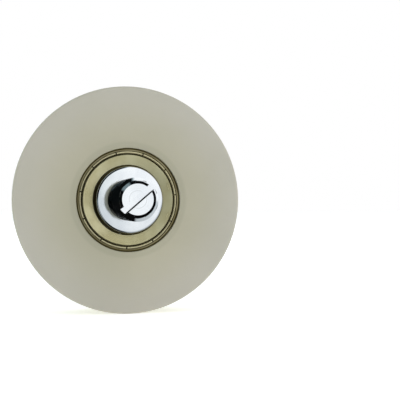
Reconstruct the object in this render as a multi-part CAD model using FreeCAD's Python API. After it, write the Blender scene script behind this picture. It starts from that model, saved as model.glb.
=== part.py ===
import FreeCAD, Part
import math
import os

# Elevator door roller: a moulded polyamide tyre on a shielded ball bearing, turning on a threaded stud.
# Millimetres. The origin is the centre of the collar's clamping face, which seats on the door hanger.
# The spin axis is Y, the stud points to -Y (the front), the tyre lies at +Y and +Z is up.

# Tyre
tyre_diameter = 70.0
tyre_width = 18.5
channel_width = 11.8
channel_depth = 4.25
rail_groove_radius = 4.5
rail_groove_depth = 2.55
rim_taper = 0.3
rim_taper_height = 4.0
front_rim_round = 0.8
back_rim_round = 1.5
channel_edge_round = 0.3
front_lip_thickness = 0.8
front_lip_overlap = 1.5
back_lip_overlap = 1.85
back_mouth_chamfer = 0.8

# Ball bearing
bearing_bore = 15.0
bearing_outside = 35.0
bearing_width = 11.0
ring_chamfer = 0.6
ball_count = 8
ball_clearance = 0.05
race_conformity = 0.52
shield_seat_depth = 1.35

# Shares of the height between the bearing's bore and its outside
ball_share = 0.5953
inner_shoulder_share = 0.315
outer_shoulder_share = 0.33
shield_seat_share = 0.23

# Shields
shield_thickness = 0.3
shield_recess = 0.4
shield_dish = 0.2
shield_running_gap = 0.2
shield_bead_width = 0.85
shield_bead_recess = 0.45
shield_bead_round = 0.35
shield_valley_width = 0.15
shield_step_width = 0.3
shield_notch_count = 11
shield_notch_start = 6.5
shield_notch_width = 0.4

# Cage
cage_thickness = 0.5
cage_width = 2.1
cage_pocket_clearance = 0.15
rivet_diameter = 1.0
rivet_head_diameter = 1.7
rivet_head_height = 0.35

# Stud
thread_major_diameter = 12.7
thread_length = 14.05
thread_lead = 0.55
stud_end_diameter = 9.0
stud_end_chamfer = 0.85
neck_diameter = 11.7
neck_length = 3.2
collar_diameter = 20.4
collar_proud = 2.6
collar_edge_round = 0.6
slot_width = 2.1
slot_depth = 2.4
slot_angle = 41.0
axle_tail = 1.5
axle_end_chamfer = 0.5

# Retaining ring
retaining_ring_thickness = 1.0
retaining_groove_depth = 0.35
retaining_groove_play = 0.1
retaining_ring_heel = 2.2
retaining_ring_toe = 1.5
retaining_ring_gap = 2.6
retaining_lug_height = 3.5
retaining_lug_width = 2.9
retaining_lug_hole = 1.7

# Stations along the spin axis
collar_face = 0.0
front_face = collar_face + collar_proud
back_face = front_face + tyre_width
groove_middle = front_face + tyre_width / 2
bearing_front = front_face + front_lip_thickness
bearing_back = bearing_front + bearing_width
bearing_middle = bearing_front + bearing_width / 2
thread_start = collar_face - neck_length
stud_end = thread_start - thread_length
retaining_groove_end = bearing_back + retaining_ring_thickness + retaining_groove_play
axle_end = retaining_groove_end + axle_tail

# Radii that pieces share
bore_radius = bearing_bore / 2
seat_radius = bearing_outside / 2
bearing_height = seat_radius - bore_radius
ball_radius = ball_share * bearing_height / 2
pitch_radius = (bore_radius + seat_radius) / 2
race_radius = 2 * race_conformity * ball_radius
inner_shoulder_radius = bore_radius + inner_shoulder_share * bearing_height
outer_shoulder_radius = seat_radius - outer_shoulder_share * bearing_height
shield_seat_radius = seat_radius - shield_seat_share * bearing_height
pocket_radius = ball_radius + cage_pocket_clearance
retaining_groove_radius = bore_radius - retaining_groove_depth

origin = FreeCAD.Vector(0, 0, 0)
spin_axis = FreeCAD.Vector(0, 1, 0)


def rounded_corner(before, corner, after, radius):
    """Start, middle and end of the arc that rounds a corner of an outline."""
    to_before = (before - corner).normalize()
    to_after = (after - corner).normalize()
    half_angle = to_before.getAngle(to_after) / 2
    reach = radius / math.tan(half_angle)
    bisector = (to_before + to_after).normalize()
    middle = corner + bisector * (radius / math.sin(half_angle) - radius)
    return corner + to_before * reach, middle, corner + to_after * reach


def turned(outline, degrees=360):
    """Solid of revolution about the spin axis from corners given as (radius, y) or (radius, y, round)."""
    points = [FreeCAD.Vector(corner[0], corner[1], 0) for corner in outline]
    rounds = [corner[2] if len(corner) > 2 else 0 for corner in outline]
    edges = []
    arcs = []
    for i, radius in enumerate(rounds):
        if radius:
            after = points[(i + 1) % len(points)]
            arcs.append(rounded_corner(points[i - 1], points[i], after, radius))
        else:
            arcs.append((points[i], None, points[i]))
    for i, (start, middle, end) in enumerate(arcs):
        if middle:
            edges.append(Part.Arc(start, middle, end).toShape())
        edges.append(Part.LineSegment(end, arcs[(i + 1) % len(arcs)][0]).toShape())
    return Part.Face(Part.Wire(edges)).revolve(origin, spin_axis, degrees)


def around(radius, degrees, y):
    """Point on a circle about the spin axis, counted from +X towards +Z."""
    angle = math.radians(degrees)
    return FreeCAD.Vector(radius * math.cos(angle), y, radius * math.sin(angle))


def ball_angles():
    return [360.0 * (i + 0.5) / ball_count for i in range(ball_count)]


def race_torus(side):
    """Ring that cuts a race: side is +1 for the outer ring's race and -1 for the inner ring's."""
    race_bottom = pitch_radius + side * (ball_radius + ball_clearance)
    centre_radius = race_bottom - side * race_radius
    return Part.makeTorus(centre_radius, race_radius, FreeCAD.Vector(0, bearing_middle, 0), spin_axis)


def make_tyre():
    """One moulding: two flanges, a flat channel with a round rail groove, and lips over the bearing."""
    tip = tyre_diameter / 2
    taper_start = tip - rim_taper_height
    floor = tip - channel_depth
    channel_front = groove_middle - channel_width / 2
    channel_back = groove_middle + channel_width / 2
    front_lip = seat_radius - front_lip_overlap
    back_lip = seat_radius - back_lip_overlap
    body = turned([
        (front_lip, front_face),
        (taper_start, front_face),
        (tip, front_face + rim_taper, front_rim_round),
        (tip, channel_front, channel_edge_round),
        (floor, channel_front),
        (floor, channel_back),
        (tip, channel_back, channel_edge_round),
        (tip, back_face - rim_taper, back_rim_round),
        (taper_start, back_face),
        (back_lip + back_mouth_chamfer, back_face),
        (back_lip, back_face - back_mouth_chamfer),
        (back_lip, bearing_back),
        (seat_radius - ring_chamfer, bearing_back),
        (seat_radius, bearing_back - ring_chamfer),
        (seat_radius, bearing_front + ring_chamfer),
        (seat_radius - ring_chamfer, bearing_front),
        (front_lip, bearing_front),
    ])
    groove_centre_radius = floor - rail_groove_depth + rail_groove_radius
    groove_centre = FreeCAD.Vector(0, groove_middle, 0)
    return body.cut(Part.makeTorus(groove_centre_radius, rail_groove_radius, groove_centre, spin_axis))


def make_outer_ring():
    """Outer bearing ring with a race and a seat for a shield on each side."""
    ring = turned([
        (shield_seat_radius, bearing_front),
        (seat_radius - ring_chamfer, bearing_front),
        (seat_radius, bearing_front + ring_chamfer),
        (seat_radius, bearing_back - ring_chamfer),
        (seat_radius - ring_chamfer, bearing_back),
        (shield_seat_radius, bearing_back),
        (shield_seat_radius, bearing_back - shield_seat_depth),
        (outer_shoulder_radius, bearing_back - shield_seat_depth),
        (outer_shoulder_radius, bearing_front + shield_seat_depth),
        (shield_seat_radius, bearing_front + shield_seat_depth),
    ])
    return ring.cut(race_torus(1))


def make_inner_ring():
    """Inner bearing ring, clamped on the axle between the collar and the retaining ring."""
    ring = turned([
        (bore_radius, bearing_front + ring_chamfer),
        (bore_radius + ring_chamfer, bearing_front),
        (inner_shoulder_radius, bearing_front),
        (inner_shoulder_radius, bearing_back),
        (bore_radius + ring_chamfer, bearing_back),
        (bore_radius, bearing_back - ring_chamfer),
    ])
    return ring.cut(race_torus(-1))


def make_ball(degrees):
    return Part.makeSphere(ball_radius, around(pitch_radius, degrees, bearing_middle))


def rivet_angles():
    return [360.0 * i / ball_count for i in range(ball_count)]


def make_cage_half(side):
    """Pressed ribbon with a rounded pocket over each ball and flat webs between, riveted to its twin."""
    inner_radius = pitch_radius - cage_width / 2
    outer_radius = pitch_radius + cage_width / 2
    step = 360.0 / ball_count
    height = pocket_radius + cage_thickness

    def ribbon(thickness):
        far = bearing_middle + side * thickness
        band = turned([
            (inner_radius, bearing_middle),
            (outer_radius, bearing_middle),
            (outer_radius, far),
            (inner_radius, far),
        ], step)
        band.rotate(origin, spin_axis, -step / 2)
        return band

    centre = around(pitch_radius, 0, bearing_middle)
    dome = Part.makeSphere(height, centre, spin_axis).common(ribbon(height))
    pocket = Part.makeSphere(pocket_radius, centre, spin_axis)
    link = ribbon(cage_thickness).fuse(dome).cut(pocket)
    links = []
    for angle in ball_angles():
        copy = link.copy()
        copy.rotate(origin, spin_axis, -angle)
        links.append(copy)
    holes = []
    for angle in rivet_angles():
        base = around(pitch_radius, angle, bearing_middle - height)
        holes.append(Part.makeCylinder(rivet_diameter / 2, 2 * height, base, spin_axis))
    return links[0].fuse(links[1:]).removeSplitter().cut(holes)


def make_rivet(degrees):
    """Shank through both webs with a flat head on each side."""
    grip = 2 * cage_thickness
    height = grip + 2 * rivet_head_height
    start = bearing_middle - cage_thickness
    head = rivet_head_height
    foot = around(pitch_radius, degrees, start - head)
    shank = Part.makeCylinder(rivet_diameter / 2, height, foot, spin_axis)
    heads = []
    for y in (start - head, start + grip):
        base = around(pitch_radius, degrees, y)
        heads.append(Part.makeCylinder(rivet_head_diameter / 2, head, base, spin_axis))
    return shank.fuse(heads).removeSplitter()


def make_shield(side):
    """Dished cover with a slit bead crimped into the outer ring: side -1 at the front, +1 at the back."""
    face = bearing_front if side < 0 else bearing_back

    def at(depth):
        return face - side * depth

    bore = inner_shoulder_radius + shield_running_gap
    bead_inside = shield_seat_radius - shield_bead_width
    valley = bead_inside - shield_valley_width
    step = valley - shield_step_width
    valley_depth = shield_seat_depth - shield_thickness
    bore_depth = shield_recess + shield_dish
    shield = turned([
        (bore, at(bore_depth)),
        (step, at(shield_recess)),
        (valley, at(valley_depth)),
        (bead_inside, at(valley_depth)),
        (bead_inside, at(shield_bead_recess), shield_bead_round),
        (shield_seat_radius, at(shield_bead_recess), shield_bead_round),
        (shield_seat_radius, at(shield_seat_depth)),
        (valley - shield_thickness, at(shield_seat_depth)),
        (step - shield_thickness, at(shield_recess + shield_thickness)),
        (bore, at(bore_depth + shield_thickness)),
    ])
    slit = Part.makeBox(2 * shield_bead_width, valley_depth, shield_notch_width)
    slit.translate(FreeCAD.Vector(valley, min(at(0), at(valley_depth)), -shield_notch_width / 2))
    notches = []
    for i in range(shield_notch_count):
        notch = slit.copy()
        notch.rotate(origin, spin_axis, -shield_notch_start - 360.0 * i / shield_notch_count)
        notches.append(notch)
    return shield.cut(notches)


def make_stud():
    """One turned piece: slotted threaded end, neck, clamping collar, axle and retaining-ring groove."""
    thread_radius = thread_major_diameter / 2
    end_radius = stud_end_diameter / 2
    lead_start = stud_end + stud_end_chamfer
    neck_radius = neck_diameter / 2
    run_out = thread_radius - neck_radius
    body = turned([
        (0, stud_end),
        (end_radius, stud_end),
        (end_radius + stud_end_chamfer, lead_start),
        (thread_radius, lead_start + thread_lead),
        (thread_radius, thread_start - run_out),
        (neck_radius, thread_start),
        (neck_radius, collar_face),
        (collar_diameter / 2, collar_face, collar_edge_round),
        (collar_diameter / 2, bearing_front),
        (bore_radius, bearing_front),
        (bore_radius, bearing_back),
        (retaining_groove_radius, bearing_back),
        (retaining_groove_radius, retaining_groove_end),
        (bore_radius, retaining_groove_end),
        (bore_radius, axle_end - axle_end_chamfer),
        (bore_radius - axle_end_chamfer, axle_end),
        (0, axle_end),
    ])
    slot = Part.makeBox(2 * thread_major_diameter, slot_depth, slot_width)
    slot.translate(FreeCAD.Vector(-thread_major_diameter, stud_end, -slot_width / 2))
    slot.rotate(origin, spin_axis, -slot_angle)
    return body.cut(slot)


def make_retaining_ring():
    """Spring ring that is thickest opposite its gap, with two lugs pierced for pliers."""
    thickness = retaining_ring_thickness
    outer_radius = retaining_groove_radius + (retaining_ring_heel + retaining_ring_toe) / 2
    offset = (retaining_ring_heel - retaining_ring_toe) / 2
    lug_top = retaining_groove_radius + retaining_lug_height
    lug_span = retaining_ring_gap + 2 * retaining_lug_width
    ring = Part.makeCylinder(outer_radius, thickness, FreeCAD.Vector(0, bearing_back, -offset), spin_axis)
    lugs = Part.makeBox(lug_span, thickness, lug_top)
    lugs.translate(FreeCAD.Vector(-lug_span / 2, bearing_back, 0))
    middle = FreeCAD.Vector(0, bearing_back, 0)
    crown = Part.makeCylinder(lug_top, thickness, middle, spin_axis)
    inside = Part.makeCylinder(retaining_groove_radius, thickness, middle, spin_axis)
    gap = Part.makeBox(retaining_ring_gap, thickness, 2 * lug_top)
    gap.translate(FreeCAD.Vector(-retaining_ring_gap / 2, bearing_back, 0))
    holes = []
    hole_x = (retaining_ring_gap + retaining_lug_width) / 2
    hole_z = lug_top - retaining_lug_width / 2
    for x in (-hole_x, hole_x):
        base = FreeCAD.Vector(x, bearing_back, hole_z)
        holes.append(Part.makeCylinder(retaining_lug_hole / 2, thickness, base, spin_axis))
    return ring.fuse(lugs.common(crown)).cut(inside).cut(gap).cut(holes).removeSplitter()


pieces = {
    "roller_tyre": make_tyre(),
    "bearing_outer_ring": make_outer_ring(),
    "bearing_inner_ring": make_inner_ring(),
    "cage_front_half": make_cage_half(-1),
    "cage_rear_half": make_cage_half(1),
    "cage_rivets": Part.makeCompound([make_rivet(angle) for angle in rivet_angles()]),
    "front_shield": make_shield(-1),
    "rear_shield": make_shield(1),
    "stud_axle": make_stud(),
    "retaining_ring": make_retaining_ring(),
}
for number, angle in enumerate(ball_angles(), start=1):
    pieces[f"ball_{number}"] = make_ball(angle)

os.makedirs("parts", exist_ok=True)
for node, shape in pieces.items():
    shape.exportStep(f"parts/{node}.step")
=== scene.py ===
import math

import bmesh
import bpy
from bpy.props import FloatProperty, FloatVectorProperty, IntProperty, PointerProperty
from mathutils import Matrix, Vector


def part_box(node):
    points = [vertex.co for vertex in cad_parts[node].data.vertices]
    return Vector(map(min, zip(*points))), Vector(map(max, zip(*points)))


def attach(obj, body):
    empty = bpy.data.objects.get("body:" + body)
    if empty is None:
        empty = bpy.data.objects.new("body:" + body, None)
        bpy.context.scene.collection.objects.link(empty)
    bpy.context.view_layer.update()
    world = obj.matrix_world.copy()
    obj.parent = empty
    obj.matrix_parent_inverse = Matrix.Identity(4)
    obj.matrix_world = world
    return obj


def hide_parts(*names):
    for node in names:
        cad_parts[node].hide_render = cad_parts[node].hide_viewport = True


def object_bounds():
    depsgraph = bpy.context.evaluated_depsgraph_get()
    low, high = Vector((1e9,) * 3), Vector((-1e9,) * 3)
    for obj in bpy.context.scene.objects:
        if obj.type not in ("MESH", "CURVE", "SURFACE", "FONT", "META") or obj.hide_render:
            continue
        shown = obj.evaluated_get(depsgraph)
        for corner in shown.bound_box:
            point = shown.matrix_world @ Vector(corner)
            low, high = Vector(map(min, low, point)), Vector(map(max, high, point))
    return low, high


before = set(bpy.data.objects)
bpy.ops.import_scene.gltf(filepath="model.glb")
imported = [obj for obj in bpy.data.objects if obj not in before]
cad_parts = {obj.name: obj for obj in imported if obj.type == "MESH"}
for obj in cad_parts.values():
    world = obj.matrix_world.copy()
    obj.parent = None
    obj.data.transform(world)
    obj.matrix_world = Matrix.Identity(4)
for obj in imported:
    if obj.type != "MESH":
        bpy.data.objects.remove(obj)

bl_info = {
    "name": "Elevator door roller",
    "version": (1, 0, 0),
    "blender": (4, 5, 0),
    "location": "View3D > Sidebar > Door roller",
    "description": "Dresses the door roller's CAD frame: tyre, bearing shields, threaded stud and finishes",
    "category": "Add Mesh",
}

MM = 0.001
CAD_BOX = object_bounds()
TYRE_LOW, TYRE_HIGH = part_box("roller_tyre")
STUD_LOW, STUD_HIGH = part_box("stud_axle")
RING_LOW, RING_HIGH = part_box("bearing_outer_ring")
INNER_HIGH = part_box("bearing_inner_ring")[1]
BALLS = sorted(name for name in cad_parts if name.startswith("ball_"))
SAME_PLACE = 0.0001 * MM
WHITE = (1.0, 1.0, 1.0, 1.0)


def length(name, description, millimetres):
    """A length that a user may change, given in millimetres and kept in metres."""
    return FloatProperty(name=name, description=description, default=millimetres * MM, min=0.0, precision=5,
                         unit="LENGTH", subtype="DISTANCE")


def angle(name, description, degrees):
    """An angle that a user may change, given in degrees and kept in radians."""
    return FloatProperty(name=name, description=description, default=math.radians(degrees), unit="ROTATION",
                         subtype="ANGLE")


def count(name, description, default, least=24):
    """A whole number that a user may change."""
    return IntProperty(name=name, description=description, default=default, min=least)


def tint(name, description, colour):
    """A colour that a user may change, in linear red, green and blue."""
    return FloatVectorProperty(name=name, description=description, default=colour, size=3, min=0.0, max=1.0,
                               subtype="COLOR")


class TyreSettings(bpy.types.PropertyGroup):
    """Sizes and colours of the moulded tyre."""
    channel_width: length("Channel width", "Clear width between the two flanges", 11.8)
    channel_depth: length("Channel depth", "Height of the flanges above the flat floor", 4.25)
    groove_radius: length("Groove radius", "Radius of the round rail groove", 4.5)
    groove_depth: length("Groove depth", "Depth of the rail groove below the flat floor", 2.55)
    rim_taper: length("Rim taper", "How far the outer faces lean in towards the rim", 0.3)
    rim_taper_height: length("Rim taper height", "Height over which the outer faces lean in", 4.0)
    front_rim_round: length("Front rim round", "Edge round of the front rim", 0.8)
    back_rim_round: length("Back rim round", "Edge round of the back rim", 1.5)
    channel_edge_round: length("Channel edge round", "Edge round where the flanges meet the channel", 0.3)
    channel_root_round: length("Channel root round", "Fillet at the foot of each flange", 0.2)
    front_lip_overlap: length("Front lip overlap", "Reach of the front lip over the outer ring", 1.5)
    back_lip_overlap: length("Back lip overlap", "Reach of the back lip over the outer ring", 1.85)
    lip_edge_round: length("Lip edge round", "Edge round of the front lip", 0.15)
    back_mouth_chamfer: length("Back mouth chamfer", "Chamfer of the recess at the back", 0.8)
    steps: count("Steps", "Faces round the tyre", 224)
    face_tint: tint("Face tint", "Polyamide of the flat faces", (0.489, 0.463, 0.395))
    hub_tint: tint("Hub tint", "Polyamide near the bearing", (0.473, 0.443, 0.334))
    lip_tint: tint("Lip tint", "Thin lip with the steel ring showing through", (0.43, 0.405, 0.30))
    groove_tint: tint("Groove tint", "Thicker polyamide of the running groove", (0.585, 0.575, 0.36))


class BearingSettings(bpy.types.PropertyGroup):
    """Sizes and colours of the shields and the other bearing pieces."""
    shield_thickness: length("Shield thickness", "Sheet thickness of the shields", 0.3)
    shield_recess: length("Shield recess", "Depth of the shield's flat below the bearing's face", 0.4)
    shield_dish: length("Shield dish", "How far the flat sinks from its rim to its bore", 0.2)
    shield_gap: length("Shield gap", "Running gap between shield and inner ring", 0.16)
    seat_height: length("Seat height", "Height of the outer ring's face round the shield", 2.3)
    seat_depth: length("Seat depth", "Depth of the shield's seat in the outer ring", 1.35)
    bead_width: length("Bead width", "Width of the crimped bead", 0.85)
    bead_recess: length("Bead recess", "Depth of the bead's top below the bearing's face", 0.45)
    bead_round: length("Bead round", "Edge round of the bead", 0.35)
    valley_width: length("Valley width", "Width of the valley inside the bead", 0.15)
    step_width: length("Step width", "Width of the slope from the flat to the valley", 0.3)
    slit_width: length("Slit width", "Width of the slits in the bead", 0.4)
    slit_count: count("Slit count", "Number of slits in the bead", 11, least=1)
    slit_start: angle("Slit start", "Angle of the first slit, from the right towards the top", 6.5)
    steps: count("Steps", "Faces round a shield", 198)
    shield_tint: tint("Shield tint", "Pressed steel of the shields", (0.52, 0.488, 0.30))
    bead_tint: tint("Bead tint", "Crimped bead of the shields", (0.60, 0.54, 0.33))
    # Dark colour of the seams and valleys, standing for oily grime and painted shade
    shade_and_oil_tint: tint("Grime tint", "Dark oil in the seams", (0.065, 0.053, 0.02))
    ring_tint: tint("Ring tint", "Oiled steel of the rings", (0.34, 0.305, 0.18))
    # Seam round the front lip: oily grime and painted shade in the corner between lip and ring
    seam_radius: length("Seam radius", "Middle of the oily seam round the front lip", 15.75)
    seam_width: length("Seam width", "Half the width of the oily seam", 0.35)
    # Band at the bead: smeared oily grime and painted shade in the crease beside the valley
    bead_shade_and_smear_radius: length("Pool radius", "Middle of the oil pooled inside the bead", 14.35)
    bead_shade_and_smear_width: length("Pool width", "Half the width of the pooled oil", 0.3)
    cage_tint: tint("Cage tint", "Pressed steel of the cage", (0.45, 0.44, 0.42))
    ball_tint: tint("Ball tint", "Polished steel of the balls", (0.62, 0.62, 0.63))
    spring_tint: tint("Retaining ring tint", "Phosphated spring steel", (0.06, 0.06, 0.06))


class StudSettings(bpy.types.PropertyGroup):
    """Sizes and colours of the turned stud."""
    thread_diameter: length("Thread diameter", "Major diameter of the half-inch coarse thread", 12.7)
    thread_pitch: length("Thread pitch", "Advance of the thread in one turn", 1.954)
    thread_depth: length("Thread depth", "Height of the thread from root to crest", 1.1)
    end_diameter: length("End diameter", "Flat end of the stud", 9.0)
    end_chamfer: length("End chamfer", "Chamfer of the stud's end", 0.85)
    thread_lead: length("Thread lead", "Length over which the thread rises behind the chamfer", 0.55)
    tool_ring: length("Tool ring", "Radius of the faint tool mark on the stud's end", 2.5)
    neck_diameter: length("Neck diameter", "Plain neck between thread and collar", 11.7)
    neck_length: length("Neck length", "Length of the plain neck", 3.2)
    run_out: length("Run-out", "Length over which the thread's groove fades into the neck", 1.6)
    collar_diameter: length("Collar diameter", "Diameter of the clamping collar", 20.4)
    collar_edge_round: length("Collar edge round", "Edge round of the clamping face", 0.6)
    slot_width: length("Slot width", "Width of the screwdriver slot", 2.1)
    slot_depth: length("Slot depth", "Depth of the screwdriver slot", 2.4)
    slot_angle: angle("Slot angle", "Rise of the slot from the right", 41.0)
    axle_diameter: length("Axle diameter", "Bearing seat of the stud", 15.0)
    ring_groove_depth: length("Ring groove depth", "Depth of the retaining ring's groove", 0.35)
    ring_groove_width: length("Ring groove width", "Width of the retaining ring's groove", 1.1)
    axle_chamfer: length("Axle chamfer", "Chamfer of the axle's end", 0.5)
    steps: count("Steps", "Faces round the stud", 128)
    turn_steps: count("Turn steps", "Faces in one turn of the thread", 80, least=16)
    steel_tint: tint("Steel tint", "Zinc-plated turned steel", (0.72, 0.75, 0.77))
    # Slot walls: saw-cut steel darkened as painted shade; last turn before the neck: oily grime and painted
    # shade
    slot_shade_tint: tint("Slot tint", "Sawn slot walls, and oil where the thread runs out", (0.12, 0.12, 0.13))


class StageSettings(bpy.types.PropertyGroup):
    """Camera, floor and light."""
    azimuth: angle("Azimuth", "Camera's turn round the roller, from straight ahead towards the right", -7.5)
    elevation: angle("Elevation", "Camera's height above the spin axis", -0.4)
    distance: length("Distance", "Camera's distance from the front rim", 250.0)
    lens: FloatProperty(name="Lens", description="Focal length, in millimetres", default=72.7)
    sensor: FloatProperty(name="Sensor", description="Width of the sensor, in millimetres", default=36.0)
    rim_depth: length("Rim depth", "Plane of the front rim's widest part, behind the collar's face", 3.9)
    wheel_across: FloatProperty(name="Wheel across", default=0.3205, subtype="FACTOR",
                                description="Place of the wheel's axis across the frame, from its left")
    floor_size: length("Floor size", "Radius of the round floor", 4000.0)
    floor_tint: tint("Floor tint", "Matt floor", (0.80, 0.80, 0.80))


SETTINGS = {
    "roller_tyre_settings": TyreSettings,
    "roller_bearing_settings": BearingSettings,
    "roller_stud_settings": StudSettings,
    "roller_stage_settings": StageSettings,
}


# Node helpers

def add(tree, kind, inputs=None, **settings):
    """A new node with its settings and plain input values."""
    node = tree.nodes.new(kind)
    for name, value in settings.items():
        setattr(node, name, value)
    for name, value in (inputs or {}).items():
        node.inputs[name].default_value = value
    return node


def math_node(tree, operation, first, second=0.0):
    """A Math node fed by sockets or plain numbers."""
    node = add(tree, "ShaderNodeMath", operation=operation)
    for i, value in enumerate((first, second)):
        if isinstance(value, (int, float)):
            node.inputs[i].default_value = value
        else:
            tree.links.new(value, node.inputs[i])
    return node.outputs[0]


def ranged(tree, value, low, high, to_low=0.0, to_high=1.0):
    """A value spread smoothly from one range to another."""
    inputs = {"From Min": low, "From Max": high, "To Min": to_low, "To Max": to_high}
    node = add(tree, "ShaderNodeMapRange", inputs, interpolation_type="SMOOTHSTEP")
    tree.links.new(value, node.inputs["Value"])
    return node.outputs["Result"]


def away(tree, value, middle):
    """Distance of a value from a middle one."""
    return math_node(tree, "ABSOLUTE", math_node(tree, "SUBTRACT", value, middle))


def mixed(tree, factor, first, second):
    """A colour between two colours, each a socket or a linear colour."""
    node = add(tree, "ShaderNodeMix", data_type="RGBA")
    tree.links.new(factor, node.inputs["Factor"])
    for socket, colour in ((node.inputs[6], first), (node.inputs[7], second)):
        if isinstance(colour, bpy.types.NodeSocket):
            tree.links.new(colour, socket)
        else:
            socket.default_value = (*colour, 1.0)
    return node.outputs[2]


def new_group(name, inputs, outputs):
    """An empty shader group with number sockets, and its two end nodes."""
    group = bpy.data.node_groups.new(name, "ShaderNodeTree")
    for socket, default in inputs.items():
        number = group.interface.new_socket(socket, in_out="INPUT", socket_type="NodeSocketFloat")
        number.default_value = default
    for socket in outputs:
        group.interface.new_socket(socket, in_out="OUTPUT", socket_type="NodeSocketFloat")
    return group, group.nodes.new("NodeGroupInput"), group.nodes.new("NodeGroupOutput")


def spin_place_group():
    """Radius from the spin axis, and the place along it."""
    if "Spin place" in bpy.data.node_groups:
        return bpy.data.node_groups["Spin place"]
    group, _, out = new_group("Spin place", {}, ("Radius", "Along"))
    place = group.nodes.new("ShaderNodeTexCoord")
    split = group.nodes.new("ShaderNodeSeparateXYZ")
    group.links.new(place.outputs["Object"], split.inputs[0])
    across = math_node(group, "POWER", split.outputs["X"], 2.0)
    upward = math_node(group, "POWER", split.outputs["Z"], 2.0)
    radius = math_node(group, "SQRT", math_node(group, "ADD", across, upward))
    group.links.new(radius, out.inputs["Radius"])
    group.links.new(split.outputs["Y"], out.inputs["Along"])
    return group


def spin_place(tree):
    """Sockets of the radius from the spin axis and of the place along it."""
    place = add(tree, "ShaderNodeGroup", node_tree=spin_place_group())
    return place.outputs["Radius"], place.outputs["Along"]


def ring_band(tree, radius, middle, half_width, core=0.4, most=1.0):
    """A band round the spin axis, full over the core's share of its width and fading to its edges."""
    return ranged(tree, away(tree, radius, middle), half_width, core * half_width, 0.0, most)


def turning_marks_group():
    """Fine uneven rings left by a lathe tool, on faces and on cylinders alike."""
    if "Turning marks" in bpy.data.node_groups:
        return bpy.data.node_groups["Turning marks"]
    group, given, out = new_group("Turning marks", {"Spacing": 0.2 * MM}, ("Height",))
    radius, along = spin_place(group)
    path = math_node(group, "ADD", radius, along)
    marks_passed = math_node(group, "DIVIDE", path, given.outputs["Spacing"])
    noise = add(group, "ShaderNodeTexNoise", {"Scale": 1.0, "Detail": 2.0}, noise_dimensions="1D")
    group.links.new(marks_passed, noise.inputs["W"])
    group.links.new(noise.outputs["Fac"], out.inputs["Height"])
    return group


def mottle_group():
    """Soft uneven patches, from 0 to 1."""
    if "Mottle" in bpy.data.node_groups:
        return bpy.data.node_groups["Mottle"]
    group, given, out = new_group("Mottle", {"Scale": 100.0}, ("Patches",))
    place = group.nodes.new("ShaderNodeTexCoord")
    noise = add(group, "ShaderNodeTexNoise", {"Detail": 3.0})
    group.links.new(place.outputs["Object"], noise.inputs["Vector"])
    group.links.new(given.outputs["Scale"], noise.inputs["Scale"])
    group.links.new(ranged(group, noise.outputs["Fac"], 0.3, 0.7), out.inputs["Patches"])
    return group


def new_finish(name, **shader):
    """A material with a Principled shader whose plain values are given by socket name."""
    material = bpy.data.materials.new(name)
    material.use_nodes = True
    principled = material.node_tree.nodes["Principled BSDF"]
    for socket, value in shader.items():
        principled.inputs[socket.replace("_", " ")].default_value = value
    return material, material.node_tree, principled


def bumped(tree, principled, height, distance):
    """Feeds a height to the shader's normal."""
    bump = add(tree, "ShaderNodeBump", {"Strength": 1.0, "Distance": distance})
    tree.links.new(height, bump.inputs["Height"])
    tree.links.new(bump.outputs["Normal"], principled.inputs["Normal"])


def patches(tree, scale):
    """The shared mottle at one scale, in patches to a metre."""
    mottle = add(tree, "ShaderNodeGroup", {"Scale": scale}, node_tree=mottle_group())
    return mottle.outputs["Patches"]


def metal_finish(name, colour, stain, roughness, marks_spacing, marks_depth, metallic=1.0):
    """Bare or plated steel with turning or drawing marks, and a faint uneven film."""
    material, tree, principled = new_finish(name, Metallic=metallic)
    film = patches(tree, scale=140.0)
    base = mixed(tree, film, colour, [c * s for c, s in zip(colour, stain)])
    tree.links.new(base, principled.inputs["Base Color"])
    lathe = add(tree, "ShaderNodeGroup", {"Spacing": marks_spacing}, node_tree=turning_marks_group())
    marks = lathe.outputs["Height"]
    film_share, marks_share = 0.15, 0.03
    smooth, rough = roughness * (1 - film_share), roughness * (1 + film_share)
    spread = math_node(tree, "ADD", ranged(tree, film, 0.0, 1.0, smooth, rough),
                       ranged(tree, marks, 0.2, 0.8, -marks_share, marks_share))
    tree.links.new(spread, principled.inputs["Roughness"])
    bumped(tree, principled, marks, marks_depth)
    return material


def opened(material):
    """A finish's tree, its shader's colour socket and the colour that feeds it."""
    base = material.node_tree.nodes["Principled BSDF"].inputs["Base Color"]
    return material.node_tree, base, base.links[0].from_socket


def shield_finish(bearing):
    """Yellow-passivated pressed steel with a paler bead, darkened in the valley and beside it by oily grime
    and painted shade.
    """
    steel = metal_finish("pressed_shield_steel", bearing.shield_tint, stain=(0.86, 0.83, 0.74),
                         roughness=0.22, marks_spacing=0.4 * MM, marks_depth=0.003 * MM, metallic=0.7)
    tree, base, plain = opened(steel)
    radius, along = spin_place(tree)
    bead = RING_HIGH.x - bearing.seat_height - bearing.bead_width
    valley = bead - bearing.valley_width
    blur = 0.1 * MM
    colour = mixed(tree, ranged(tree, radius, valley - blur, bead), plain, bearing.bead_tint)
    middle = (RING_LOW.y + RING_HIGH.y) / 2
    deep = RING_HIGH.y - middle - bearing.seat_depth + bearing.shield_thickness
    # Painted shade and oily grime: darker with depth in the valley, and along a band at the bead
    valley_shade_height = 0.35 * MM
    valley_shade_and_oil = ranged(tree, away(tree, along, middle), deep + valley_shade_height, deep + blur)
    bead_shade_and_smear = ring_band(tree, radius, bearing.bead_shade_and_smear_radius, bearing.bead_shade_and_smear_width, most=0.75)
    oil_and_shade = math_node(tree, "MAXIMUM", valley_shade_and_oil, bead_shade_and_smear)
    tree.links.new(mixed(tree, oil_and_shade, colour, bearing.shade_and_oil_tint), base)
    return steel


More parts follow.
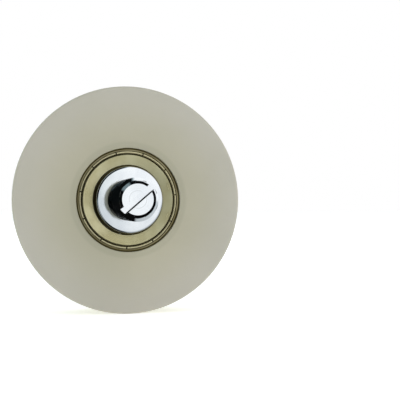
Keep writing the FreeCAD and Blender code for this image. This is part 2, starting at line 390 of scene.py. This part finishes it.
def ring_finish(bearing):
    """Oiled ground steel, with dark oily grime and painted shade round the tyre's lip, and painted shade
    over the inner ring.
    """
    steel = metal_finish("oiled_ring_steel", bearing.ring_tint, stain=(0.7, 0.66, 0.55), roughness=0.34,
                         marks_spacing=0.2 * MM, marks_depth=0.003 * MM)
    tree, base, plain = opened(steel)
    radius, _ = spin_place(tree)
    # Painted shade and oily grime at the seam round the lip; painted shade over the inner ring, in the
    # running gap
    seam = ring_band(tree, radius, bearing.seam_radius, bearing.seam_width)
    oil_and_shade_edge, oil_and_shade_full = INNER_HIGH.x + 0.5 * MM, INNER_HIGH.x + 0.1 * MM
    oil_and_shade = math_node(tree, "MAXIMUM", seam, ranged(tree, radius, oil_and_shade_edge, oil_and_shade_full))
    tree.links.new(mixed(tree, oil_and_shade, plain, bearing.shade_and_oil_tint), base)
    return steel


def stud_finish(stud):
    """Zinc-plated turned steel, darkened with oily grime and painted shade where the thread runs out, and
    with a tool ring on the stud's end.
    """
    steel = metal_finish("turned_zinc_steel", stud.steel_tint, stain=(0.9, 0.91, 0.93), roughness=0.08,
                         marks_spacing=0.25 * MM, marks_depth=0.001 * MM)
    tree, base, plain = opened(steel)
    radius, along = spin_place(tree)
    ring_half_width, ring_strength, ring_shade = 0.18 * MM, 0.35, 0.6
    near = ring_band(tree, radius, stud.tool_ring, ring_half_width, core=0.0)
    on_end = ranged(tree, along, STUD_LOW.y + 0.05 * MM, STUD_LOW.y + 0.02 * MM)
    ring = math_node(tree, "MULTIPLY", math_node(tree, "MULTIPLY", near, on_end), ring_strength)
    ringed = mixed(tree, ring, plain, [c * ring_shade for c in stud.steel_tint])
    # Painted shade with oily grime over the last turn before the neck, which also darkens its reflection in
    # the collar's face
    neck_start, oil_and_shade_strength = -stud.neck_length, 0.9
    run_out = neck_start - stud.run_out
    last_turn = ranged(tree, along, run_out - 0.5 * stud.thread_pitch, run_out)
    before_neck = ranged(tree, along, neck_start, neck_start - 0.1 * MM)
    oil_and_shade = math_node(tree, "MULTIPLY", math_node(tree, "MULTIPLY", last_turn, before_neck), oil_and_shade_strength)
    tree.links.new(mixed(tree, oil_and_shade, ringed, stud.slot_shade_tint), base)
    return steel


def polyamide_finish(tyre):
    """Natural polyamide: greyer on the faces, darker where the lips are thin, yellower in the groove."""
    material, tree, principled = new_finish("natural_polyamide", IOR=1.53, Subsurface_Weight=0.25,
                                            Subsurface_Scale=1.0 * MM, Subsurface_Radius=(1.0, 0.95, 0.7))
    radius, along = spin_place(tree)
    seat = RING_HIGH.x
    inward = ranged(tree, radius, TYRE_HIGH.x, seat)
    face = mixed(tree, inward, tyre.face_tint, tyre.hub_tint)
    lip_edge, lip_full = seat + 0.9 * MM, seat - 0.1 * MM
    face = mixed(tree, ranged(tree, radius, lip_edge, lip_full), face, tyre.lip_tint)
    middle = (TYRE_LOW.y + TYRE_HIGH.y) / 2
    half_width = TYRE_HIGH.y - middle
    groove_edge, groove_full = half_width - 0.2 * MM, half_width - 2.5 * MM
    inside = ranged(tree, away(tree, along, middle), groove_edge, groove_full)
    colour = mixed(tree, inside, face, tyre.groove_tint)
    cloud_tint, cloud_share = (0.36, 0.35, 0.25), 0.10
    cloud = ranged(tree, patches(tree, scale=60.0), 0.0, 1.0, 0.0, cloud_share)
    tree.links.new(mixed(tree, cloud, colour, cloud_tint), principled.inputs["Base Color"])
    grain = patches(tree, scale=900.0)
    smooth, rough = 0.44, 0.56
    tree.links.new(ranged(tree, grain, 0.0, 1.0, smooth, rough), principled.inputs["Roughness"])
    bumped(tree, principled, grain, 0.01 * MM)
    return material


# Mesh helpers

def corner_verts(bm, corners):
    """Vertices in the XY plane at corners given as (radius, y) or (radius, y, round)."""
    return [bm.verts.new((corner[0], corner[1], 0.0)) for corner in corners]


def outline(bm, corners, fine):
    """Closed outline in the XY plane, with its corners rounded."""
    verts = corner_verts(bm, corners)
    bm.faces.new(verts)
    round_corners(bm, verts, corners, fine)


def round_corners(bm, verts, corners, fine):
    """Rounds the corners of an outline that have a third value, with fine edges to each round."""
    for vert, corner in zip(verts, corners):
        if len(corner) > 2:
            bmesh.ops.bevel(bm, geom=[vert], offset=corner[2], offset_type="OFFSET", affect="VERTICES",
                            segments=fine, profile=0.5, material=-1)


def spin_outline(bm, steps, turn=2 * math.pi):
    """Turns the outline's edges about the spin axis; a part turn is closed at both ends."""
    full = turn >= 2 * math.pi
    if full:
        bmesh.ops.delete(bm, geom=bm.faces[:], context="FACES_ONLY")
        on_axis = [e for e in bm.edges if max(abs(v.co.x) for v in e.verts) < SAME_PLACE]
        bmesh.ops.delete(bm, geom=on_axis, context="EDGES")
        geom = bm.verts[:] + bm.edges[:]
    else:
        geom = bm.verts[:] + bm.edges[:] + bm.faces[:]
    bmesh.ops.spin(bm, geom=geom, cent=(0, 0, 0), axis=(0, 1, 0), angle=turn, steps=steps, use_merge=full)
    bmesh.ops.remove_doubles(bm, verts=bm.verts[:], dist=SAME_PLACE)
    bmesh.ops.recalc_face_normals(bm, faces=bm.faces[:])


def turn_about_spin_axis(bm, turn):
    """Turns everything in a bmesh about the spin axis."""
    bmesh.ops.rotate(bm, cent=(0, 0, 0), matrix=Matrix.Rotation(turn, 3, "Y"), verts=bm.verts[:])


def add_turned(bm, corners, steps, fine):
    """Adds a solid of revolution to a bmesh."""
    ring = bmesh.new()
    outline(ring, corners, fine)
    spin_outline(ring, steps)
    append(bm, ring)


def append(bm, other):
    """Moves the contents of one bmesh into another."""
    mesh = bpy.data.meshes.new("part")
    other.to_mesh(mesh)
    other.free()
    bm.from_mesh(mesh)
    bpy.data.meshes.remove(mesh)


def to_object(bm, name, sharp_degrees=35.0):
    """A smooth-shaded object from a bmesh, with its sharp edges kept."""
    for face in bm.faces:
        face.smooth = True
    for edge in bm.edges:
        edge.smooth = edge.calc_face_angle(0.0) < math.radians(sharp_degrees)
    mesh = bpy.data.meshes.new(name)
    bm.to_mesh(mesh)
    bm.free()
    piece = bpy.data.objects.new(name, mesh)
    bpy.context.scene.collection.objects.link(piece)
    return piece


def settle(piece):
    """Turns an object's modifiers into its mesh."""
    result = bpy.data.meshes.new_from_object(piece.evaluated_get(bpy.context.evaluated_depsgraph_get()))
    piece.modifiers.clear()
    piece.data = result


def cut_away(piece, cutter):
    """Cuts one object's shape out of another and removes the cutter."""
    modifier = piece.modifiers.new("cut", "BOOLEAN")
    modifier.operation = "DIFFERENCE"
    modifier.solver = "EXACT"
    modifier.material_mode = "INDEX"
    modifier.object = cutter
    settle(piece)
    bpy.data.objects.remove(cutter)


def level_faces(piece):
    """Lets large faces keep their own normals, so that they look flat between rounded edges."""
    modifier = piece.modifiers.new("level", "WEIGHTED_NORMAL")
    modifier.mode = "FACE_AREA"
    modifier.weight = 100
    modifier.keep_sharp = True
    settle(piece)


def dress(node, material):
    """Gives a CAD node its finish."""
    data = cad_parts[node].data
    data.materials.clear()
    data.materials.append(material)


def seat_piece(piece, material, slot, body, *nodes):
    """Gives a piece its finish and its body, and hides the CAD nodes that it stands for."""
    level_faces(piece)
    piece.data.materials.append(material)
    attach(piece, body)
    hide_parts(*nodes)


class ROLLER_OT_tyre(bpy.types.Operator):
    """Moulded tyre: two flanges, a flat-floored channel with a round groove, and lips over the bearing"""
    bl_idname = "door_roller.tyre"
    bl_label = "Moulded tyre"

    def execute(self, context):
        tyre = context.scene.roller_tyre_settings
        tip = TYRE_HIGH.x
        front, back = TYRE_LOW.y, TYRE_HIGH.y
        middle = (front + back) / 2
        floor = tip - tyre.channel_depth
        seat = RING_HIGH.x
        ring_chamfer = 0.6 * MM
        front_lip = seat - tyre.front_lip_overlap
        back_lip = seat - tyre.back_lip_overlap
        centre = floor - tyre.groove_depth + tyre.groove_radius
        half_turn = math.acos((centre - floor) / tyre.groove_radius)
        half_mouth = tyre.groove_radius * math.sin(half_turn)
        channel_front = middle - tyre.channel_width / 2
        channel_back = middle + tyre.channel_width / 2
        corners = [
            (floor, middle + half_mouth),
            (floor, channel_back, tyre.channel_root_round),
            (tip, channel_back, tyre.channel_edge_round),
            (tip, back - tyre.rim_taper, tyre.back_rim_round),
            (tip - tyre.rim_taper_height, back),
            (back_lip + tyre.back_mouth_chamfer, back, tyre.lip_edge_round),
            (back_lip, back - tyre.back_mouth_chamfer, tyre.lip_edge_round),
            (back_lip, RING_HIGH.y),
            (seat - ring_chamfer, RING_HIGH.y),
            (seat, RING_HIGH.y - ring_chamfer),
            (seat, RING_LOW.y + ring_chamfer),
            (seat - ring_chamfer, RING_LOW.y),
            (front_lip, RING_LOW.y),
            (front_lip, front, tyre.lip_edge_round),
            (tip - tyre.rim_taper_height, front),
            (tip, front + tyre.rim_taper, tyre.front_rim_round),
            (tip, channel_front, tyre.channel_edge_round),
            (floor, channel_front, tyre.channel_root_round),
            (floor, middle - half_mouth),
        ]
        bm = bmesh.new()
        verts = corner_verts(bm, corners)
        for pair in zip(verts, verts[1:]):
            bm.edges.new(pair)
        bmesh.ops.spin(bm, geom=[verts[-1]], cent=(centre, middle, 0), axis=(0, 0, 1), angle=-2 * half_turn,
                       steps=32)
        bmesh.ops.remove_doubles(bm, verts=bm.verts[:], dist=SAME_PLACE)
        bmesh.ops.contextual_create(bm, geom=bm.edges[:])
        round_corners(bm, verts[1:-1], corners[1:-1], fine=8)
        spin_outline(bm, tyre.steps)
        piece = to_object(bm, "moulded_tyre")
        seat_piece(piece, polyamide_finish(tyre), "polyamide", "roller", "roller_tyre")
        return {"FINISHED"}


class ROLLER_OT_shields(bpy.types.Operator):
    """Pressed shields at both ends of the bearing, each with a slit bead crimped into the outer ring"""
    bl_idname = "door_roller.shields"
    bl_label = "Bearing shields"

    def execute(self, context):
        bearing = context.scene.roller_bearing_settings
        steel = shield_finish(bearing)
        for name, face, inward in (("front_shield", RING_LOW.y, 1), ("rear_shield", RING_HIGH.y, -1)):
            bm = bmesh.new()
            self.add_plate(bm, bearing, face, inward)
            self.add_bead(bm, bearing, face, inward)
            seat_piece(to_object(bm, "pressed_" + name), steel, "shield_steel", "roller", name)
        return {"FINISHED"}

    def radii(self, bearing):
        """Radii of the shield from its bore out to its seat."""
        bore = INNER_HIGH.x + bearing.shield_gap
        seat = RING_HIGH.x - bearing.seat_height
        bead = seat - bearing.bead_width
        valley = bead - bearing.valley_width
        return bore, valley - bearing.step_width, valley, bead, seat

    def add_plate(self, bm, bearing, face, inward):
        """The sheet from the bore, down the slope and under the bead."""
        bore, step, valley, _, seat = self.radii(bearing)
        sheet = bearing.shield_thickness
        flat = face + inward * bearing.shield_recess
        sunk = flat + inward * bearing.shield_dish
        low = face + inward * (bearing.seat_depth - sheet)
        under = face + inward * bearing.seat_depth
        bore_round, step_round, valley_round = 0.08 * MM, 0.1 * MM, 0.05 * MM
        add_turned(bm, [
            (bore, sunk, bore_round),
            (step, flat, step_round),
            (valley, low, valley_round),
            (seat, low),
            (seat, under),
            (valley - sheet, under),
            (step - sheet, flat + inward * sheet),
            (bore, sunk + inward * sheet),
        ], bearing.steps, fine=4)

    def add_bead(self, bm, bearing, face, inward):
        """The crimped bead, slit at even spaces."""
        _, _, _, bead, seat = self.radii(bearing)
        top = face + inward * bearing.bead_recess
        low = face + inward * (bearing.seat_depth - bearing.shield_thickness)
        pitch = 2 * math.pi / bearing.slit_count
        slit = bearing.slit_width / seat
        steps = round(bearing.steps / bearing.slit_count)
        for i in range(bearing.slit_count):
            length_of_bead = bmesh.new()
            outline(length_of_bead, [
                (bead, low),
                (bead, top, bearing.bead_round),
                (seat, top, bearing.bead_round),
                (seat, low),
            ], fine=5)
            spin_outline(length_of_bead, steps, pitch - slit)
            start = -bearing.slit_start - i * pitch - pitch + slit / 2
            turn_about_spin_axis(length_of_bead, start)
            append(bm, length_of_bead)


class ROLLER_OT_bearing(bpy.types.Operator):
    """Finishes of the bearing's rings, cage, rivets, balls and of the retaining ring"""
    bl_idname = "door_roller.bearing"
    bl_label = "Bearing finishes"

    def execute(self, context):
        bearing = context.scene.roller_bearing_settings
        ring_steel = ring_finish(bearing)
        cage_steel = metal_finish("pressed_cage_steel", bearing.cage_tint, stain=(0.85, 0.84, 0.82),
                                  roughness=0.4, marks_spacing=0.5 * MM, marks_depth=0.003 * MM)
        ball_steel = metal_finish("polished_ball_steel", bearing.ball_tint, stain=(0.97, 0.97, 0.96),
                                  roughness=0.08, marks_spacing=1.0 * MM, marks_depth=0.0)
        spring_steel = metal_finish("phosphated_spring_steel", bearing.spring_tint, stain=(0.7, 0.7, 0.75),
                                    roughness=0.5, marks_spacing=0.3 * MM, marks_depth=0.004 * MM)
        for node in ("bearing_outer_ring", "bearing_inner_ring"):
            dress(node, ring_steel)
        for node in ("cage_front_half", "cage_rear_half", "cage_rivets"):
            dress(node, cage_steel)
        for node in BALLS:
            dress(node, ball_steel)
        dress("retaining_ring", spring_steel)
        return {"FINISHED"}


class ROLLER_OT_stud(bpy.types.Operator):
    """Turned stud: slotted threaded end, neck, clamping collar and bearing axle"""
    bl_idname = "door_roller.stud"
    bl_label = "Threaded stud"

    def execute(self, context):
        stud = context.scene.roller_stud_settings
        steel = stud_finish(stud)
        # Slot walls: saw-cut steel darkened as painted shade
        shaded_sawn = metal_finish("shaded_sawn_slot_steel", stud.slot_shade_tint, stain=(0.8, 0.8, 0.8), roughness=0.5,
                            marks_spacing=0.3 * MM, marks_depth=0.006 * MM)
        blank = to_object(self.thread(stud), "thread_blank")
        cutter = to_object(self.slot_cutter(stud), "slot_cutter")
        for part in (blank, cutter):
            part.data.materials.append(steel)
            part.data.materials.append(shaded_sawn)
        cut_away(blank, cutter)
        bm = bmesh.new()
        bm.from_mesh(blank.data)
        bpy.data.objects.remove(blank)
        self.add_body(bm, stud)
        piece = to_object(bm, "turned_stud")
        seat_piece(piece, steel, "stud_steel", "stud", "stud_axle")
        piece.data.materials.append(shaded_sawn)
        return {"FINISHED"}

    def thread(self, stud):
        """Rolled vee thread between the chamfered end and its run-out at the neck."""
        pitch = stud.thread_pitch
        crest = stud.thread_diameter / 2
        root = crest - stud.thread_depth
        neck = stud.neck_diameter / 2
        end = STUD_LOW.y
        neck_start = -stud.neck_length
        buried = neck_start + 0.2 * MM
        under_neck = neck - 0.02 * MM
        flat_share = 0.12
        section = [(0.0, root), (flat_share, root), (0.5 - flat_share / 2, crest),
                   (0.5 + flat_share / 2, crest), (1.0 - flat_share, root), (1.0, root)]
        bm = bmesh.new()
        start = end - pitch
        verts = [bm.verts.new((radius, start + share * pitch, 0.0)) for share, radius in section]
        edges = [bm.edges.new(pair) for pair in zip(verts, verts[1:])]
        bmesh.ops.subdivide_edges(bm, edges=edges, cuts=4)
        turns = math.ceil((buried - start) / pitch) + 1
        steps = stud.turn_steps
        bmesh.ops.spin(bm, geom=bm.verts[:] + bm.edges[:], cent=(0, 0, 0), axis=(0, 1, 0),
                       dvec=(0, pitch / steps, 0), angle=2 * math.pi * turns, steps=steps * turns)
        bmesh.ops.remove_doubles(bm, verts=bm.verts[:], dist=SAME_PLACE)
        lead = stud.end_diameter / 2 + stud.end_chamfer
        lead_start = end + stud.end_chamfer
        lead_end = lead_start + stud.thread_lead
        shoulder = neck_start - (crest - neck)
        planes = [(end, -1), (lead_start, 0), (lead_end, 0), (shoulder, 0), (neck_start, 0), (buried, 1)]
        for y, outward in planes:
            everything = bm.verts[:] + bm.edges[:] + bm.faces[:]
            bmesh.ops.bisect_plane(bm, geom=everything, dist=SAME_PLACE, plane_co=(0, y, 0),
                                   plane_no=(0, outward or 1, 0), clear_outer=outward != 0)
        # The crests follow the chamfered ends, and the root rises to the neck over the run-out
        for vert in bm.verts:
            radius = math.hypot(vert.co.x, vert.co.z)
            past = vert.co.y - lead_start
            limit = lead + max(past, past * (crest - lead) / stud.thread_lead)
            limit = min(limit, under_neck + max(neck_start - vert.co.y, 0.0))
            fade = min(max((vert.co.y - neck_start + stud.run_out) / stud.run_out, 0.0), 1.0)
            floor = root + (under_neck - root) * fade
            shaped = min(max(radius, floor), limit)
            vert.co.x *= shaped / radius
            vert.co.z *= shaped / radius
        bmesh.ops.holes_fill(bm, edges=[e for e in bm.edges if e.is_boundary], sides=0)
        bmesh.ops.recalc_face_normals(bm, faces=bm.faces[:])
        return bm

    def slot_cutter(self, stud):
        """Block that cuts the screwdriver slot across the stud's end."""
        past_both_sides = 1.2 * stud.thread_diameter
        size = (past_both_sides, 2 * stud.slot_depth, stud.slot_width)
        bm = bmesh.new()
        bmesh.ops.create_cube(bm, size=1.0)
        bmesh.ops.scale(bm, vec=size, verts=bm.verts[:])
        # The two long walls take the saw-cut finish, darkened as painted shade
        for face in bm.faces:
            face.material_index = 1 if abs(face.normal.z) > 0.5 else 0
        turn_about_spin_axis(bm, -stud.slot_angle)
        bmesh.ops.translate(bm, vec=(0, STUD_LOW.y, 0), verts=bm.verts[:])
        return bm

    def add_body(self, bm, stud):
        """Neck, collar and axle behind the thread."""
        neck = stud.neck_diameter / 2
        collar = stud.collar_diameter / 2
        axle = stud.axle_diameter / 2
        groove = axle - stud.ring_groove_depth
        groove_end = RING_HIGH.y + stud.ring_groove_width
        neck_round, neck_fillet, axle_round = 0.05 * MM, 0.1 * MM, 0.06 * MM
        add_turned(bm, [
            (0.0, -stud.neck_length),
            (neck, -stud.neck_length, neck_round),
            (neck, 0.0, neck_fillet),
            (collar, 0.0, stud.collar_edge_round),
            (collar, RING_LOW.y),
            (axle, RING_LOW.y),
            (axle, RING_HIGH.y),
            (groove, RING_HIGH.y),
            (groove, groove_end),
            (axle, groove_end, axle_round),
            (axle, STUD_HIGH.y - stud.axle_chamfer, axle_round),
            (axle - stud.axle_chamfer, STUD_HIGH.y, axle_round),
            (0.0, STUD_HIGH.y),
        ], stud.steps, fine=6)


class ROLLER_OT_stage(bpy.types.Operator):
    """Pale floor, soft studio light and the camera"""
    bl_idname = "door_roller.stage"
    bl_label = "Stage"

    def execute(self, context):
        stage = context.scene.roller_stage_settings
        self.floor(stage)
        self.world(context.scene)
        self.softbox("top_softbox", place=(0.0, 0.0, 1.2), size=0.9, power=1.6, gleams=False)
        self.softbox("back_softbox", place=(-0.4, 1.1, 0.5), size=0.9, power=2.0, gleams=True)
        self.softbox("left_softbox", place=(-1.1, -0.3, 0.4), size=0.8, power=4.0, gleams=False)
        self.softbox("right_softbox", place=(1.1, 0.1, 0.4), size=0.8, power=0.6, gleams=False)
        self.camera(context.scene, stage)
        settings = context.scene.view_settings
        settings.view_transform = "Standard"
        settings.look = "None"
        return {"FINISHED"}

    def floor(self, stage):
        """Round matt floor that the roller stands on."""
        bm = bmesh.new()
        bmesh.ops.create_circle(bm, cap_ends=True, segments=96, radius=stage.floor_size)
        bmesh.ops.translate(bm, vec=(0, 0, CAD_BOX[0].z), verts=bm.verts[:])
        floor = to_object(bm, "floor")
        material, tree, principled = new_finish("pale_floor", Roughness=0.9, Specular_IOR_Level=0.1,
                                                Emission_Color=WHITE, Emission_Strength=0.53)
        clouded = [c * 0.99 for c in stage.floor_tint]
        colour = mixed(tree, patches(tree, scale=2.0), stage.floor_tint, clouded)
        tree.links.new(colour, principled.inputs["Base Color"])
        floor.data.materials.append(material)
        floor.visible_glossy = False

    def world(self, scene):
        """Studio surround: a broad light in front and to the right, dimmer below, and three smaller ones."""
        world = bpy.data.worlds.new("studio")
        world.use_nodes = True
        tree = world.node_tree
        tree.nodes.clear()
        front = self.patch(tree, (0.2, -1.0, 0.1), edge=84.0, full=58.0, strength=1.3)
        right = self.patch(tree, (1.0, 0.0, 0.0), edge=92.0, full=82.0, strength=1.0)
        above = self.patch(tree, (0.0, 0.0, 1.0), edge=100.0, full=87.0, strength=1.0)
        share_below = 0.7
        lit = math_node(tree, "MULTIPLY", front, right)
        lit = math_node(tree, "MULTIPLY", lit, ranged(tree, above, 0.0, 1.0, share_below, 1.0))
        behind = self.patch(tree, (0.0, 1.0, 0.2), edge=62.0, full=35.0, strength=0.9)
        high_left = self.patch(tree, (-1.0, 0.1, 1.3), edge=24.0, full=12.0, strength=0.3)
        low_left = self.patch(tree, (-0.5, -0.87, -0.22), edge=18.0, full=9.0, strength=0.8)
        for smaller in (behind, high_left, low_left):
            lit = math_node(tree, "ADD", lit, smaller)
        cool, dull = (0.72, 0.94, 1.0), (0.82, 0.86, 0.88)
        upper = mixed(tree, right, cool, WHITE[:3])
        colour = mixed(tree, above, dull, upper)
        ray = tree.nodes.new("ShaderNodeLightPath")
        fill_strength, least = 0.25, 0.005
        fill = math_node(tree, "MULTIPLY", ray.outputs["Is Diffuse Ray"], fill_strength)
        strength = math_node(tree, "ADD", math_node(tree, "ADD", lit, fill), least)
        glow = tree.nodes.new("ShaderNodeBackground")
        tree.links.new(colour, glow.inputs["Color"])
        tree.links.new(strength, glow.inputs["Strength"])
        seen = add(tree, "ShaderNodeBackground", {"Color": WHITE, "Strength": 1.0})
        either = tree.nodes.new("ShaderNodeMixShader")
        out = tree.nodes.new("ShaderNodeOutputWorld")
        tree.links.new(ray.outputs["Is Camera Ray"], either.inputs["Fac"])
        tree.links.new(glow.outputs[0], either.inputs[1])
        tree.links.new(seen.outputs[0], either.inputs[2])
        tree.links.new(either.outputs[0], out.inputs["Surface"])
        scene.world = world

    def patch(self, tree, middle, edge, full, strength):
        """Round patch of the surround, at full strength within one angle and gone at another, in degrees."""
        place = tree.nodes.new("ShaderNodeTexCoord")
        facing = add(tree, "ShaderNodeVectorMath", operation="DOT_PRODUCT")
        tree.links.new(place.outputs["Generated"], facing.inputs[0])
        facing.inputs[1].default_value = Vector(middle).normalized()
        low, high = (math.cos(math.radians(degrees)) for degrees in (edge, full))
        return ranged(tree, facing.outputs["Value"], low, high, 0.0, strength)

    def softbox(self, name, place, size, power, gleams):
        """Square area light aimed at the roller, seen in its bright metal only where it gleams."""
        light = bpy.data.lights.new(name, "AREA")
        light.shape = "SQUARE"
        light.size = size
        light.energy = power
        lamp = bpy.data.objects.new(name, light)
        bpy.context.scene.collection.objects.link(lamp)
        lamp.location = place
        lamp.rotation_euler = (-Vector(place)).to_track_quat("-Z", "Y").to_euler()
        lamp.visible_glossy = gleams

    def backward(self, stage):
        """Direction from the roller to the camera."""
        return Vector((math.sin(stage.azimuth) * math.cos(stage.elevation),
                       -math.cos(stage.azimuth) * math.cos(stage.elevation),
                       math.sin(stage.elevation)))

    def camera(self, scene, stage):
        """Camera a little left of the spin axis, turned so that the wheel lies in the frame's left half."""
        camera = bpy.data.cameras.new("camera")
        camera.lens = stage.lens
        camera.sensor_width = stage.sensor
        camera.clip_start = 0.01
        viewer = bpy.data.objects.new("camera", camera)
        scene.collection.objects.link(viewer)
        backward = self.backward(stage)
        viewer.location = Vector((0, stage.rim_depth, 0)) + backward * stage.distance
        turn = math.atan((0.5 - stage.wheel_across) * camera.sensor_width / camera.lens)
        aim = Matrix.Rotation(-turn, 3, "Z") @ backward
        viewer.rotation_euler = aim.to_track_quat("Z", "Y").to_euler()
        scene.camera = viewer


class ROLLER_PT_panel(bpy.types.Panel):
    """Lists the roller's pieces and their sizes"""
    bl_idname = "ROLLER_PT_panel"
    bl_label = "Door roller"
    bl_space_type = "VIEW_3D"
    bl_region_type = "UI"
    bl_category = "Door roller"

    def draw(self, context):
        for operator in OPERATORS:
            self.layout.operator(operator.bl_idname)
        for name, group in SETTINGS.items():
            box = self.layout.box()
            box.label(text=group.__doc__)
            for prop in group.__annotations__:
                box.prop(getattr(context.scene, name), prop)


OPERATORS = (ROLLER_OT_tyre, ROLLER_OT_shields, ROLLER_OT_bearing, ROLLER_OT_stud, ROLLER_OT_stage)


def register():
    for cls in (*SETTINGS.values(), *OPERATORS, ROLLER_PT_panel):
        bpy.utils.register_class(cls)
    for name, group in SETTINGS.items():
        setattr(bpy.types.Scene, name, PointerProperty(type=group))


def unregister():
    for name in SETTINGS:
        delattr(bpy.types.Scene, name)
    for cls in (ROLLER_PT_panel, *reversed(OPERATORS), *reversed(SETTINGS.values())):
        bpy.utils.unregister_class(cls)


def main():
    register()
    bpy.ops.door_roller.tyre()
    bpy.ops.door_roller.shields()
    bpy.ops.door_roller.bearing()
    bpy.ops.door_roller.stud()
    bpy.ops.door_roller.stage()


if __name__ == "__main__":
    main()
